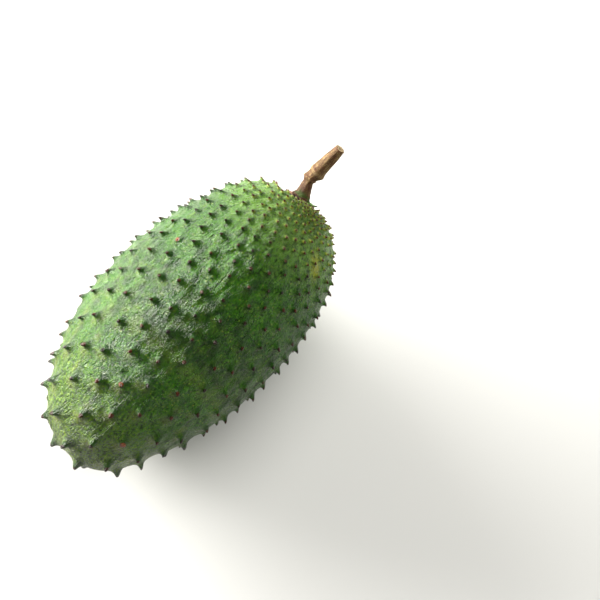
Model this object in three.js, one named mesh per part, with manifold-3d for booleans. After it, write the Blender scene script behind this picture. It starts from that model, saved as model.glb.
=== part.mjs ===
// A whole soursop (Annona muricata), as picked, lying on its side on a small pressed flat spot.
//
// Three pieces: the fruit with the soft spines of its skin, the calyx, which is a corky collar with
// three dried sepals, and the woody stem with its joint and cut end. Millimetres, +Z up, +X towards
// the stem. The origin is the middle of the flat spot.
//
// The fruit is an ovoid with a few low swells. Its skin is charted by a unit sphere through the
// conformal map of the ovoid, so a small circle on the sphere is a small circle on the skin. Spines
// stand on a golden-angle spiral, small and crowded beside the collar, large and far apart beyond.
// The skin's triangles are the Delaunay triangles of the chart, found as a convex hull.

import * as THREE from "three";
import { ConvexHull } from "three/addons/math/ConvexHull.js";
import { mergeVertices } from "three/addons/utils/BufferGeometryUtils.js";
import Module from "manifold-3d";

// ---------------------------------------------------------------- driving dimensions

// The fruit's ovoid.
const HALF_LENGTH = 86.5; // spines left out
const HALF_WIDTH = 47.5;
const EGG = 0.07; // share by which the stem's half is fatter than the other
const END_POWER = 0.94; // under 1 makes both ends fuller than an ellipsoid's
const SIDE_BEND = -2.5; // shift of both ends along Y
const LIFT_BEND = 6; // rise of both ends, like a smile
const REST_TILT = 5; // degrees that the stem's end is raised as it lies
const PRESSED_DEPTH = 0.9; // skin flattened away at the resting spot

// Low swells and hollows: degrees from the stem's pole, degrees of roll from +Y up, height.
const SWELL_WIDTH = 0.33; // radians
const SWELLS = [
  [14, 12, -2.9],
  [31, 12, 2.6],
  [54, 12, -2.1],
  [112, 12, 1.1],
  [138, 12, -0.5],
  [160, 12, 1.2],
  [49, 192, 1.4],
  [135, 192, -1.8],
  [157, 192, 3.1],
  [70, 110, 1.4],
  [95, 285, -0.9],
  [120, 95, -1.2],
  [60, 250, 1.2],
];

// The collar, and the flat seat that it has on the fruit.
const COLLAR_OFF_POLE = [5, 4]; // how far the collar sits from the stem's pole, along Y and Z
const COLLAR_LEAN = 12; // degrees that its axis is turned up from the skin's own direction
const COLLAR_RADIUS = 8.8;
const COLLAR_HEIGHT = 2.4;
const SEAT_RADIUS = 9.4;
const SEAT_FADE = 6; // width over which the flat runs out into the round skin
const SEAT_DEPTH = 1.8;

// Spines, and the low mounds that carry them. Lists of three run from where the spines crowd,
// beside the collar, by mid-fruit to the blossom end.
const CROWD_OFF_POLE = [-7, 20]; // where they crowd, from the stem's pole, along Y and Z
const SPACING_CROWDED = 2.1; // between neighbouring spines there
const SPACING_FAR = 14.8; // and far from there
const SPACING_AT_END = 11.5; // and at the blossom end
const SPACING_REACH = 54; // distance over which the spacing grows most of the way
const SPACING_POWER = 1.1; // over 1 keeps them crowded for longer at first
const END_SHARE = 0.3; // of the way along the fruit that counts as its blossom end
const FIRST_SPINE = 10.3; // distance of the innermost spines from the collar's middle
const SPINE_JITTER = 0.13; // of the spacing
const SPINE_HEIGHT = [1.6, 2.5, 3.0];
const SPINE_RADIUS = [0.95, 1.6, 2.2];
const SPINE_LEAN = 0.42; // sideways travel of a tip towards the blossom end, per height
const SPINE_GROWTH_POWER = 0.8; // under 1 makes the spines grow faster at first
const WIDEST_SPINE = 0.37; // radius allowed, as a share of the spacing
const MOUND_HEIGHT = [0.3, 1.2, 3.0];
const MOUND_REACH = 0.34; // of the spacing
const MOUND_ROUNDING = 0.3; // of the reach, so that a mound's top is not a cusp
const MOUND_END = 4; // reaches at which a mound stops
const MOUND_STRETCH = 2.2; // of the mounds beside the collar, along the fruit
const STRETCH_REACH = 55; // distance over which that stretch dies out
const FLOOR_CLEARANCE = 0.4; // of a spine's tip above the surface that the fruit lies on
const LEAST_SPINE = 0.9; // a spine that would be shorter than this is pressed flat

// The stem.
const STEM_LOWER = 10.2; // collar to joint
const STEM_UPPER = 22.8; // joint to cut end
const STEM_LOWER_DIRECTION = [0.86, 0.24, 0.45];
const STEM_UPPER_DIRECTION = [0.84, -0.12, 0.57];
// Radius along the stem: distance from the collar, radius.
const STEM_RADII = [
  [0, 5.2],
  [1.0, 4.5],
  [3.2, 3.65],
  [6.2, 3.1],
  [8.8, 2.6],
  [9.6, 2.65],
  [10.5, 3.35],
  [11.5, 3.1],
  [13.2, 3.4],
  [16, 4.1],
  [18.6, 3.9],
  [23.2, 3.55],
  [35.4, 2.6],
];
// Buds and scars on the stem: distance from the collar, degrees round it, height, width.
const STEM_BUMPS = [
  [10.8, 5, 0.6, 1.0],
  [14.6, 188, 0.9, 1.8],
  [17.2, 70, 0.35, 1.8],
];

// The dried sepals on the collar: degrees round it, size, rise of the tip.
const SEPALS = [
  [12, 0.7, 0.2],
  [72, 0.8, 1.1],
  [178, 0.85, 1.1],
];
const SEPAL_LENGTH = 6.4;
const SEPAL_WIDTH = 7.5;
const SEPAL_THICK = 0.8;
const SEPAL_START = 4.4; // distance of a sepal's root from the collar's axis
const SEPAL_ROOT_HEIGHT = 1.5; // of its underside above the collar's base

// How fine the solids are.
const SKIN_SPACING = 7.6; // between the plain skin's own points
const SMALL_SPINE = 1.25; // base radius below which a spine has only the small rings
// Rings of a spine from foot to tip: share of the radius, share of the height, points round it.
const LARGE_RINGS = [
  [2.2, 0, 5],
  [1, 0, 5],
  [0.45, 0.5, 4],
  [0, 1, 1],
];
const SMALL_RINGS = [
  [1, 0, 4],
  [0, 1, 1],
];
const CLEAR_OF_SPINE = 2.6; // of a spine's radius, kept free of plain skin points
const STEM_SIDES = 14;
const STEM_RINGS = 32;
const COLLAR_SIDES = 26;
const GAP = 0.3; // between pieces that touch

// ---------------------------------------------------------------- small helpers

const GOLDEN_ANGLE = Math.PI * (3 - Math.sqrt(5));
const HEX_CELL = Math.sqrt(3) / 2; // area of one point's cell in a hexagonal lattice of spacing 1
const vec = (x, y, z) => new THREE.Vector3(x, y, z);
const UP = vec(0, 0, 1);
const radians = THREE.MathUtils.degToRad;
const clamp = THREE.MathUtils.clamp;
const smooth = (x) => THREE.MathUtils.smoothstep(x, 0, 1);

// The unit direction at an angle theta from +X and a roll phi from +Y up.
const onSphere = (theta, phi) =>
  vec(Math.cos(theta), Math.sin(theta) * Math.cos(phi), Math.sin(theta) * Math.sin(phi));

// A repeatable draw from 0 to 1 for the given whole number and stream.
function draw(i, stream) {
  const s = Math.sin(i * 12.9898 + stream * 78.233) * 43758.5453;
  return s - Math.floor(s);
}

// Value from a list of three for a share 0 to 1 of the way along the fruit.
function alongFruit([start, middle, end], share) {
  return share < 0.5
    ? start + (middle - start) * smooth(share * 2)
    : middle + (end - middle) * smooth(share * 2 - 1);
}

// ---------------------------------------------------------------- the ovoid and its chart

// Place along the axis and radius, for an angle theta from the stem's pole.
function profile(theta) {
  const c = Math.cos(theta);
  const r = HALF_WIDTH * Math.pow(Math.sin(theta), END_POWER) * (1 + EGG * c);
  return [HALF_LENGTH * c, r];
}

// Rows of [conformal latitude, theta]: the latitude changes by arc length over radius.
function latitudeRows(steps) {
  const rows = [];
  let latitude = 0;
  let [xLast, rLast] = profile(Math.PI / steps);
  for (let k = 1; k < steps; k++) {
    const theta = (Math.PI * k) / steps;
    const [x, r] = profile(theta);
    latitude += Math.hypot(x - xLast, r - rLast) / ((r + rLast) / 2);
    rows.push([latitude, theta]);
    [xLast, rLast] = [x, r];
  }
  const middle = rows[steps / 2 - 1][0];
  return rows.map(([q, theta]) => [q - middle, theta]);
}
const chart = latitudeRows(1440);

// The ovoid's angle theta for a chart direction.
function thetaOf(n) {
  const latitude = -Math.atanh(clamp(n.x, -0.9999999, 0.9999999));
  let low = 0;
  let high = chart.length - 1;
  while (high - low > 1) {
    const middle = (low + high) >> 1;
    if (chart[middle][0] <= latitude) low = middle;
    else high = middle;
  }
  const share = clamp((latitude - chart[low][0]) / (chart[high][0] - chart[low][0]), 0, 1);
  return chart[low][1] + share * (chart[high][1] - chart[low][1]);
}

// Millimetres on the skin for a radian on the chart.
function scaleAt(n) {
  const [, r] = profile(thetaOf(n));
  return r / Math.max(Math.hypot(n.y, n.z), 1e-4);
}

// Height of the swells at an angle theta and a roll phi.
function swellAt(theta, phi) {
  const here = onSphere(theta, phi);
  let sum = 0;
  for (const [from, roll, height] of SWELLS) {
    const away = here.angleTo(onSphere(radians(from), radians(roll)));
    sum += height * Math.exp(-((away / SWELL_WIDTH) ** 2));
  }
  return sum;
}

// The skin with no spines for a chart direction, with the ovoid's middle at the origin.
function ovoidPoint(n) {
  const theta = thetaOf(n);
  const phi = Math.atan2(n.z, n.y);
  const [x, r] = profile(theta);
  const [xBefore, rBefore] = profile(theta - 1e-4);
  const [xAfter, rAfter] = profile(theta + 1e-4);
  const outwards = xBefore - xAfter;
  const normal = vec(rAfter - rBefore, outwards * Math.cos(phi), outwards * Math.sin(phi));
  const p = vec(x, r * Math.cos(phi), r * Math.sin(phi));
  p.addScaledVector(normal.normalize(), swellAt(theta, phi));
  p.y += SIDE_BEND * Math.cos(theta) ** 2;
  p.z += LIFT_BEND * Math.cos(theta) ** 2;
  return p.applyAxisAngle(vec(0, -1, 0), radians(REST_TILT));
}

// Two unit directions square to n on the chart: away from the pole given, and round it.
function chartAxes(n, pole) {
  const away = n.clone().multiplyScalar(n.dot(pole)).sub(pole).normalize();
  return [away, n.clone().cross(away)];
}

// The chart direction at an angle and a bearing from n, where bearing 0 leads away from the pole.
function swing(n, pole, angle, bearing) {
  const [away, round] = chartAxes(n, pole);
  return n
    .clone()
    .multiplyScalar(Math.cos(angle))
    .addScaledVector(away, Math.sin(angle) * Math.cos(bearing))
    .addScaledVector(round, Math.sin(angle) * Math.sin(bearing));
}

// The same for a distance in millimetres on the skin.
const step = (n, pole, distance, bearing) => swing(n, pole, distance / scaleAt(n), bearing);

// The resting spot's place on the ovoid: at the lowest skin, raised by what is pressed away.
function restingSpot() {
  const steps = 200;
  let lowest = vec(0, 0, Infinity);
  for (let i = 0; i <= steps; i++) {
    for (let j = 0; j <= steps; j++) {
      const theta = Math.PI * (0.3 + (0.4 * i) / steps);
      const phi = -Math.PI * (0.3 + (0.4 * j) / steps);
      const p = ovoidPoint(onSphere(theta, phi));
      if (p.z < lowest.z) lowest = p;
    }
  }
  return lowest.addScaledVector(UP, PRESSED_DEPTH);
}
const spot = restingSpot();
const bareSkin = (n) => ovoidPoint(n).sub(spot);

// The outward direction of a surface over the chart.
function normalAt(n, surface) {
  const [a, b] = chartAxes(n, Math.abs(n.x) > 0.9 ? UP : vec(1, 0, 0));
  const beside = (direction, by) => surface(n.clone().addScaledVector(direction, by).normalize());
  const alongA = beside(a, 1e-3).sub(beside(a, -1e-3));
  const alongB = beside(b, 1e-3).sub(beside(b, -1e-3));
  return alongA.cross(alongB).normalize();
}

// ---------------------------------------------------------------- the collar's seat

const poleScale = scaleAt(vec(1, 0.01, 0).normalize());
const nearPole = ([y, z]) => vec(poleScale, y, z).normalize();
const collarPole = nearPole(COLLAR_OFF_POLE);
const crowdPole = nearPole(CROWD_OFF_POLE);

const collarAxis = normalAt(collarPole, bareSkin);
collarAxis.applyAxisAngle(collarAxis.clone().cross(UP).normalize(), radians(COLLAR_LEAN));
const seatCentre = bareSkin(collarPole).addScaledVector(collarAxis, -SEAT_DEPTH);

// Skin with the collar's flat seat let into it.
function seatedSkin(n) {
  const p = bareSkin(n);
  const from = p.clone().sub(seatCentre);
  if (from.length() > 1.5 * (SEAT_RADIUS + SEAT_FADE)) return p;
  const height = from.dot(collarAxis);
  const radius = Math.sqrt(Math.max(from.lengthSq() - height * height, 0));
  const flat = 1 - smooth((radius - SEAT_RADIUS) / SEAT_FADE);
  return p.addScaledVector(collarAxis, -height * flat);
}

// ---------------------------------------------------------------- spines

// Rows of [count so far, angle from the crowd's pole, distance from it] for a lattice whose
// spacing depends on that distance.
function latticeRows(spacingAt) {
  const rows = [];
  const bands = 900;
  const around = 24;
  let count = 0;
  let distance = 0;
  for (let k = 0; k < bands; k++) {
    const angle = (Math.PI * (k + 0.5)) / bands;
    let scale = 0;
    let square = 0;
    for (let j = 0; j < around; j++) {
      const s = scaleAt(swing(crowdPole, UP, angle, (2 * Math.PI * j) / around));
      scale += s / around;
      square += (s * s) / around;
    }
    distance += (scale * Math.PI) / bands;
    const area = 2 * Math.PI * Math.sin(angle) * square * (Math.PI / bands);
    count += area / (HEX_CELL * spacingAt(distance) ** 2);
    rows.push([count, angle, distance]);
  }
  return rows;
}

// Points of the golden-angle spiral: {n, distance, spacing}.
function spiral(spacingAt, jitter) {
  const rows = latticeRows(spacingAt);
  const points = [];
  let k = 0;
  for (let i = 0; i + 0.5 < rows.at(-1)[0]; i++) {
    while (rows[k][0] < i + 0.5) k++;
    const [, angle, distance] = rows[k];
    const spacing = spacingAt(distance);
    const exact = swing(crowdPole, UP, angle, i * GOLDEN_ANGLE);
    const off = jitter * spacing * Math.sqrt(draw(i, 1));
    const n = step(exact, crowdPole, off, 2 * Math.PI * draw(i, 2));
    points.push({ n, distance, spacing });
  }
  return points;
}

// Distance over the skin from where the spines crowd to the point right across.
const farthest = latticeRows(() => Infinity).at(-1)[2];

// Spacing of the spines at a distance from where they crowd.
function spineSpacing(distance) {
  const crowded = Math.exp(-((distance / SPACING_REACH) ** SPACING_POWER));
  const end = smooth((distance / farthest - 1 + END_SHARE) / END_SHARE);
  const tighter = (SPACING_FAR - SPACING_CROWDED) * crowded;
  return SPACING_FAR - tighter - (SPACING_FAR - SPACING_AT_END) * end;
}

// What the spine on the given site looks like, and which way it grows.
function spineOn({ n, distance, spacing }, i) {
  const share = (distance / farthest) ** SPINE_GROWTH_POWER;
  const foot = seatedSkin(n);
  const [away, round] = chartAxes(n, crowdPole).map((direction) => {
    const beside = n.clone().addScaledVector(direction, 2e-3).normalize();
    return seatedSkin(beside).sub(foot).normalize();
  });
  const radius = alongFruit(SPINE_RADIUS, share) * (0.9 + 0.2 * draw(i, 6));
  return {
    n,
    foot,
    up: normalAt(n, seatedSkin),
    away,
    round,
    height: alongFruit(SPINE_HEIGHT, share) * (0.8 + 0.4 * draw(i, 5)),
    radius: Math.min(radius, WIDEST_SPINE * spacing),
    mound: alongFruit(MOUND_HEIGHT, share) * (0.75 + 0.5 * draw(i, 7)),
    reach: MOUND_REACH * spacing,
    stretch: 1 + (MOUND_STRETCH - 1) * (1 - smooth(distance / STRETCH_REACH)),
  };
}

const spines = spiral(spineSpacing, SPINE_JITTER)
  .filter(({ n }) => seatedSkin(n).distanceTo(seatCentre) > FIRST_SPINE)
  .map(spineOn);

// Rise of the skin over all its mounds, at a point of the skin.
function reliefAt(p) {
  let sum = 0;
  for (const s of spines) {
    const from = p.clone().sub(s.foot);
    const along = from.dot(s.away) / s.stretch;
    const e = Math.hypot(along, from.dot(s.round), from.dot(s.up)) / s.reach;
    if (e > MOUND_END) continue;
    sum += s.mound * (Math.exp(-Math.hypot(e, MOUND_ROUNDING)) - Math.exp(-MOUND_END));
  }
  return sum;
}

// Height of a spine that keeps its tip clear of the surface that the fruit lies on.
function standingHeight(spine) {
  const drop = -spine.up.z - SPINE_LEAN * spine.away.z;
  const room = spine.foot.z + spine.mound * spine.up.z - FLOOR_CLEARANCE;
  return drop > 0 ? Math.min(spine.height, room / drop) : spine.height;
}

// ---------------------------------------------------------------- the fruit's points and skin

const directions = [];
const positions = [];

// Adds a point over the skin, raised and shifted by what is given.
function addPoint(n, rise, shift) {
  const bare = seatedSkin(n);
  const onSeat = bare.distanceTo(seatCentre) < SEAT_RADIUS + 0.1;
  const relief = onSeat ? 0 : reliefAt(bare);
  const raised = bare.addScaledVector(normalAt(n, seatedSkin), relief + rise);
  directions.push(n);
  positions.push(raised.add(shift));
}

function addSpine(spine, i) {
  const height = standingHeight(spine);
  if (height < LEAST_SPINE) return;
  for (const [wide, high, points] of spine.radius < SMALL_SPINE ? SMALL_RINGS : LARGE_RINGS) {
    const lean = spine.away.clone().multiplyScalar(SPINE_LEAN * height * high ** 1.5);
    for (let k = 0; k < points; k++) {
      const bearing = 2 * Math.PI * (k / points + draw(i, 9));
      const n = wide ? step(spine.n, crowdPole, wide * spine.radius, bearing) : spine.n;
      addPoint(n, height * high, lean);
    }
  }
}

function addPlainSkin() {
  for (const { n } of spiral(() => SKIN_SPACING, 0)) {
    const p = seatedSkin(n);
    const clear = spines.every((s) => p.distanceTo(s.foot) > CLEAR_OF_SPINE * s.radius + 0.6);
    if (clear && p.distanceTo(seatCentre) > SEAT_RADIUS + 1.2) addPoint(n, 0, vec(0, 0, 0));
  }
}

// Points of the collar's seat: its middle and two rings, as shares of its radius.
function addSeat() {
  for (const [share, points] of [
    [0, 1],
    [0.5, 6],
    [0.97, 16],
  ]) {
    for (let k = 0; k < points; k++) {
      const n = step(collarPole, UP, share * SEAT_RADIUS, (2 * Math.PI * k) / points);
      addPoint(n, 0, vec(0, 0, 0));
    }
  }
}

// Triangles between the points: the hull of their chart directions, facing out.
function chartTriangles() {
  const place = new Map(directions.map((d, i) => [d, i]));
  return new ConvexHull().setFromPoints(directions).faces.flatMap((face) => {
    const corners = [];
    let edge = face.edge;
    do {
      corners.push(place.get(edge.head().point));
      edge = edge.next;
    } while (edge !== face.edge);
    return corners;
  });
}

// ---------------------------------------------------------------- joining and cutting

const wasm = await Module();
wasm.setup();

// A geometry from points and the triangles between them.
function surfaceOf(points, triangles) {
  const places = points.flatMap((p) => p.toArray());
  return new THREE.BufferGeometry()
    .setAttribute("position", new THREE.Float32BufferAttribute(places, 3))
    .setIndex(triangles);
}

function solidFrom(geometry) {
  const plain = geometry.clone();
  plain.deleteAttribute("normal");
  plain.deleteAttribute("uv");
  const merged = mergeVertices(plain, 1e-4);
  return new wasm.Manifold(
    new wasm.Mesh({
      numProp: 3,
      vertProperties: merged.attributes.position.array,
      triVerts: new Uint32Array(merged.index.array),
    }),
  );
}

function geometryFrom(solid) {
  const mesh = solid.getMesh();
  return new THREE.BufferGeometry()
    .setAttribute("position", new THREE.BufferAttribute(mesh.vertProperties, 3))
    .setIndex(new THREE.BufferAttribute(mesh.triVerts, 1));
}

// The skin with its spines, cut off level at the resting spot.
function fruitGeometry() {
  spines.forEach(addSpine);
  addPlainSkin();
  addSeat();
  const whole = solidFrom(surfaceOf(positions, chartTriangles()));
  const below = new THREE.BoxGeometry(300, 300, 60).translate(0, 0, -30);
  return geometryFrom(whole.subtract(solidFrom(below)));
}

// ---------------------------------------------------------------- calyx

// A frame whose +Z is the collar's axis and whose +X is level.
const level = UP.clone().cross(collarAxis).normalize();
const calyxFrame = new THREE.Group();
calyxFrame.position.copy(seatCentre).addScaledVector(collarAxis, GAP);
calyxFrame.quaternion.setFromRotationMatrix(
  new THREE.Matrix4().makeBasis(level, collarAxis.clone().cross(level), collarAxis),
);

// Moves every vertex of a geometry by a function that changes its place.
function reshape(geometry, move) {
  const at = geometry.attributes.position;
  const p = vec(0, 0, 0);
  for (let i = 0; i < at.count; i++) {
    move(p.fromBufferAttribute(at, i));
    at.setXYZ(i, p.x, p.y, p.z);
  }
  return geometry;
}

// The lumpy corky ring, sloped up to a flat top that the stem stands on.
function collarGeometry() {
  const outline = [
    [0, 0],
    [0.88, 0],
    [1, 0.2],
    [1, 0.42],
    [0.92, 0.6],
    [0.76, 0.74],
    [0.64, 0.95],
    [0.6, 1],
    [0, 1],
  ].map(([r, z]) => new THREE.Vector2(r * COLLAR_RADIUS, z * COLLAR_HEIGHT));
  const turned = new THREE.LatheGeometry(outline, COLLAR_SIDES).rotateX(Math.PI / 2);
  return reshape(turned, (p) => {
    const turn = Math.atan2(p.y, p.x);
    const lump = 1 + 0.035 * Math.sin(3 * turn + 1) + 0.025 * Math.sin(7 * turn);
    p.x *= lump;
    p.y *= lump;
  });
}

// A pointed blade rooted in the collar, arched over its rim, its tip turned up by a rise.
function sepalGeometry(rise) {
  const half = SEPAL_WIDTH / 2;
  const shape = new THREE.Shape();
  shape.moveTo(0, -half * 0.8);
  shape.quadraticCurveTo(SEPAL_LENGTH * 0.5, -half * 1.15, SEPAL_LENGTH, 0);
  shape.quadraticCurveTo(SEPAL_LENGTH * 0.5, half * 1.15, 0, half * 0.8);
  shape.closePath();
  const blade = new THREE.ExtrudeGeometry(shape, {
    depth: SEPAL_THICK,
    bevelEnabled: false,
    curveSegments: 6,
  });
  return reshape(blade, (p) => {
    const past = Math.max(2 * p.x / SEPAL_LENGTH - 1, 0);
    p.z += rise * past ** 1.5;
  });
}

function calyxGeometry() {
  let calyx = solidFrom(collarGeometry());
  for (const [roll, size, rise] of SEPALS) {
    const sepal = sepalGeometry(rise)
      .scale(size, size, 1)
      .translate(SEPAL_START, 0, SEPAL_ROOT_HEIGHT)
      .rotateZ(radians(roll));
    calyx = calyx.add(solidFrom(sepal));
  }
  return geometryFrom(calyx);
}

// ---------------------------------------------------------------- stem

// Its centre line runs from the collar's top through the joint to the cut end.
const stemFoot = seatCentre.clone().addScaledVector(collarAxis, COLLAR_HEIGHT + 2 * GAP);
const lowerWay = vec(...STEM_LOWER_DIRECTION).normalize();
const upperWay = vec(...STEM_UPPER_DIRECTION).normalize();
const joint = stemFoot.clone().addScaledVector(lowerWay, STEM_LOWER);
const stemLine = new THREE.CatmullRomCurve3([
  stemFoot,
  stemFoot.clone().addScaledVector(collarAxis, 1.5),
  stemFoot.clone().addScaledVector(lowerWay, STEM_LOWER * 0.55),
  joint,
  joint.clone().addScaledVector(upperWay, STEM_UPPER * 0.25),
  joint.clone().addScaledVector(upperWay, STEM_UPPER),
]);

// Height of the buds and scars at a distance along the stem and a turn round it.
function stemBump(distance, turn, radius) {
  let sum = 0;
  for (const [at, degrees, height, width] of STEM_BUMPS) {
    const round = 2 * radius * Math.sin((turn - radians(degrees)) / 2);
    sum += height * Math.exp(-((distance - at) ** 2 + round ** 2) / width ** 2);
  }
  return sum;
}

// Radius of the stem at a distance along it and a turn round it.
function stemRadius(distance, turn) {
  const k = STEM_RADII.findIndex(([d]) => d > distance);
  const [[d0, r0], [d1, r1]] = [STEM_RADII[k - 1], STEM_RADII[k]];
  const plain = r0 + (r1 - r0) * smooth((distance - d0) / (d1 - d0));
  const ribs = 1 + 0.03 * Math.sin(3 * turn + distance / 8) + 0.02 * Math.sin(5 * turn);
  return plain * ribs + stemBump(distance, turn, plain);
}

// Points of the stem's skin, ring by ring from foot to cut end.
function stemPoints() {
  const points = [];
  const side = level.clone();
  for (let k = 0; k <= STEM_RINGS; k++) {
    const share = k / STEM_RINGS;
    const way = k ? stemLine.getTangentAt(share) : collarAxis;
    side.addScaledVector(way, -side.dot(way)).normalize();
    const up = way.clone().cross(side);
    for (let j = 0; j < STEM_SIDES; j++) {
      const turn = (2 * Math.PI * j) / STEM_SIDES;
      const radius = stemRadius(share * stemLine.getLength(), turn);
      const p = stemLine.getPointAt(share).addScaledVector(side, radius * Math.cos(turn));
      points.push(p.addScaledVector(up, radius * Math.sin(turn)));
    }
  }
  return points;
}

function stemGeometry() {
  const points = stemPoints();
  const triangles = [];
  const foot = points.push(stemLine.getPointAt(0)) - 1;
  const cut = points.push(stemLine.getPointAt(1)) - 1;
  const last = STEM_RINGS * STEM_SIDES;
  for (let j = 0; j < STEM_SIDES; j++) {
    const next = (j + 1) % STEM_SIDES;
    for (let ring = 0; ring < last; ring += STEM_SIDES) {
      const above = ring + STEM_SIDES;
      triangles.push(ring + j, ring + next, above + next);
      triangles.push(ring + j, above + next, above + j);
    }
    triangles.push(foot, next, j);
    triangles.push(cut, last + j, last + next);
  }
  return surfaceOf(points, triangles);
}

// ---------------------------------------------------------------- the scene graph

function mesh(name, geometry, color, roughness) {
  const finish = new THREE.MeshStandardMaterial({ color, roughness, metalness: 0 });
  const made = new THREE.Mesh(geometry, finish);
  made.name = name;
  return made;
}

const soursop = new THREE.Group();
soursop.add(mesh("fruit", fruitGeometry(), 0x5f8a46, 0.5));
calyxFrame.add(mesh("calyx", calyxGeometry(), 0x5a4033, 0.85));
soursop.add(calyxFrame);
soursop.add(mesh("stem", stemGeometry(), 0x9a7a58, 0.8));

export default soursop;
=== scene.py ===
"""A whole soursop lying on its side, in metres, in the frame of its CAD model.

The fruit's skin is built finely by the rules that the CAD part uses: an ovoid with low swells,
charted by a unit sphere, and spines on a golden-angle spiral. The calyx and stem are built round
the same places. Lengths are millimetres, unless a comment says metres.
"""

import math

import bpy
import numpy as np
from mathutils import Matrix, Vector, noise
from mathutils.geometry import delaunay_2d_cdt


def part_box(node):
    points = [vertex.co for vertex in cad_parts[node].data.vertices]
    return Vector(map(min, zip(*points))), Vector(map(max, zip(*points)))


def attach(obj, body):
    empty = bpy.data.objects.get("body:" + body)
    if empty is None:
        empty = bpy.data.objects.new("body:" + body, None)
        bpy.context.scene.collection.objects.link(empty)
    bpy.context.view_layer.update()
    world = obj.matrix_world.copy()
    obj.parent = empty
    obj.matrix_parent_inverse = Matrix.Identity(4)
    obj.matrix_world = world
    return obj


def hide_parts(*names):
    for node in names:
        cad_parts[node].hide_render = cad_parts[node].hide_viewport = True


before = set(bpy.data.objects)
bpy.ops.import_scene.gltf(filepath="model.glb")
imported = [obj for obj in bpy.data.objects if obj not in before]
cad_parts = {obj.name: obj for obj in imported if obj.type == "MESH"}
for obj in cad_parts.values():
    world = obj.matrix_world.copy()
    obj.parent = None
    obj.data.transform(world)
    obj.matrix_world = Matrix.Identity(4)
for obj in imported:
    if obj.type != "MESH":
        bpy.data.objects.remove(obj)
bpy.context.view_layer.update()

MM = 0.001

# ---------------------------------------------------------------- driving dimensions, as in the CAD

HALF_LENGTH = 86.5  # spines left out
HALF_WIDTH = 47.5
EGG = 0.07  # share by which the stem's half is fatter than the other
END_POWER = 0.94  # under 1 makes both ends fuller than an ellipsoid's
SIDE_BEND = -2.5  # shift of both ends along Y
LIFT_BEND = 6  # rise of both ends
REST_TILT = math.radians(5)  # that the stem's end is raised as it lies
PRESSED_DEPTH = 0.9  # skin flattened away at the resting spot
SWELL_WIDTH = 0.33  # radians
SWELLS = [  # degrees from the stem's pole, degrees of roll from +Y up, height
    (14, 12, -2.9),
    (31, 12, 2.6),
    (54, 12, -2.1),
    (112, 12, 1.1),
    (138, 12, -0.5),
    (160, 12, 1.2),
    (49, 192, 1.4),
    (135, 192, -1.8),
    (157, 192, 3.1),
    (70, 110, 1.4),
    (95, 285, -0.9),
    (120, 95, -1.2),
    (60, 250, 1.2),
]
COLLAR_OFF_POLE = (5, 4)  # how far the collar sits from the stem's pole, along Y and Z
COLLAR_LEAN = math.radians(12)  # that its axis is turned up from the skin's own direction
SEAT_RADIUS = 9.4
SEAT_FADE = 6  # width over which the flat runs out into the round skin
SEAT_DEPTH = 1.8
# Spines and their mounds. Lists of three run from where the spines crowd, by mid-fruit, to the end.
CROWD_OFF_POLE = (-7, 20)  # where they crowd, from the stem's pole, along Y and Z
SPACING_CROWDED = 2.1  # between neighbouring spines there
SPACING_FAR = 14.8  # and far from there
SPACING_AT_END = 11.5  # and at the blossom end
SPACING_REACH = 54  # distance over which the spacing grows most of the way
SPACING_POWER = 1.1  # over 1 keeps them crowded for longer at first
END_SHARE = 0.3  # of the way along the fruit that counts as its blossom end
FIRST_SPINE = 10.3  # distance of the innermost spines from the collar's middle
SPINE_JITTER = 0.13  # of the spacing
SPINE_HEIGHT = (1.6, 2.5, 3.0)
SPINE_RADIUS = (0.95, 1.6, 2.2)
SPINE_LEAN = 0.42  # sideways travel of a tip towards the blossom end, per height
SPINE_GROWTH_POWER = 0.8  # under 1 makes the spines grow faster at first
WIDEST_SPINE = 0.37  # radius allowed, as a share of the spacing
MOUND_HEIGHT = (0.3, 1.2, 3.0)
MOUND_REACH = 0.34  # of the spacing
MOUND_ROUNDING = 0.3  # of the reach, so that a mound's top is not a cusp
MOUND_END = 4  # reaches at which a mound stops
MOUND_STRETCH = 2.2  # of the mounds beside the collar, along the fruit
STRETCH_REACH = 55  # distance over which that stretch dies out
FLOOR_CLEARANCE = 0.4  # of a spine's tip above the floor
LEAST_SPINE = 0.9  # a spine that would be shorter than this is pressed flat
COLLAR_RADIUS = 8.8
COLLAR_HEIGHT = 2.4
# Side of the collar: share of its radius, share of its height.
COLLAR_SIDE = [(0.88, 0), (1, 0.2), (1, 0.42), (0.92, 0.6), (0.76, 0.74), (0.64, 0.95), (0.6, 1)]
SEPALS = [(12, 0.7, 0.2), (72, 0.8, 1.1), (178, 0.85, 1.1)]  # degrees round the collar, size, rise
SEPAL_LENGTH = 6.4
SEPAL_WIDTH = 7.5
SEPAL_START = 4.4  # distance of a sepal's root from the collar's axis
SEPAL_ROOT_HEIGHT = 1.5  # of its underside above the collar's base
STEM_LOWER = 10.2  # collar to joint
STEM_UPPER = 22.8  # joint to cut end
STEM_LOWER_DIRECTION = (0.86, 0.24, 0.45)
STEM_UPPER_DIRECTION = (0.84, -0.12, 0.57)
STEM_RADII = [  # distance from the collar, radius
    (0, 5.2),
    (1.0, 4.5),
    (3.2, 3.65),
    (6.2, 3.1),
    (8.8, 2.6),
    (9.6, 2.65),
    (10.5, 3.35),
    (11.5, 3.1),
    (13.2, 3.4),
    (16, 4.1),
    (18.6, 3.9),
    (23.2, 3.55),
    (35.4, 2.6),
]
STEM_BUMPS = [  # distance from the collar, degrees round the stem, height, width
    (10.8, 5, 0.6, 1.0),
    (14.6, 188, 0.9, 1.8),
    (17.2, 70, 0.35, 1.8),
]
GAP = 0.3  # between pieces that touch

# ---------------------------------------------------------------- what is finer than the CAD

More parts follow.
